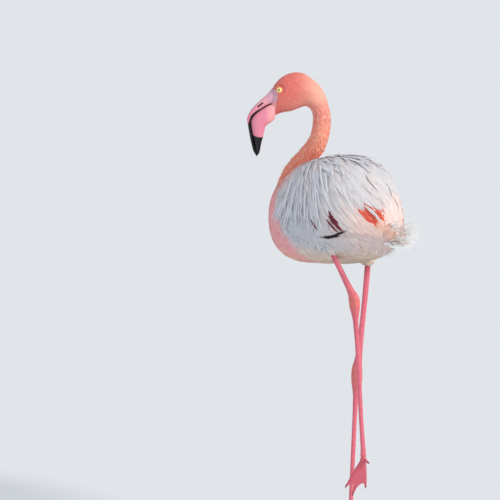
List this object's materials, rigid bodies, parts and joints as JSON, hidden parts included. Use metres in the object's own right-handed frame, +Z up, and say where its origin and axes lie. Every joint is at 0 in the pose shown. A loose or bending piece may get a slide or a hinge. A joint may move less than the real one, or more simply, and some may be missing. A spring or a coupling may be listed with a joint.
{
  "type": "greater flamingo",
  "caption": "Life-size still model of a greater flamingo, standing on one leg with the other half lifted and its head turned to the side.",
  "frame": {"origin": "on the floor, under the middle of the standing (right) foot's sole", "axes": "+Z up; -Y is the way the trunk faces; +X is the bird's left"},
  "size_m": [0.2266, 0.4678, 0.934],
  "materials": {
    "body_plumage": "soft white plumage tinted pink and cream, coral patches on the wing",
    "coral_plumage": "short dense coral-pink feathers, paler on the cheek and nape",
    "bill_horn": "smooth pink horn with a glossy black tip",
    "leg_skin": "rosy scaled skin, duller on the joints",
    "claw_horn": "dark horn",
    "eye": "clear cornea over a pale yellow iris with a small black pupil"
  },
  "bodies": {
    "root": {"head": "coral_plumage", "neck_upper": "coral_plumage", "neck_middle": "coral_plumage", "neck_lower": "coral_plumage", "bill_upper": "bill_horn", "bill_lower": "bill_horn", "eye_left": "eye", "eye_right": "eye", "trunk": "body_plumage", "wing_left": "body_plumage", "wing_right": "body_plumage", "tail": "body_plumage", "thigh_left": "body_plumage", "thigh_right": "body_plumage", "shank_left": "leg_skin", "shank_right": "leg_skin", "tarsus_left": "leg_skin", "tarsus_right": "leg_skin", "foot_left": "leg_skin", "foot_right": "leg_skin"}
  },
  "joints": []
}
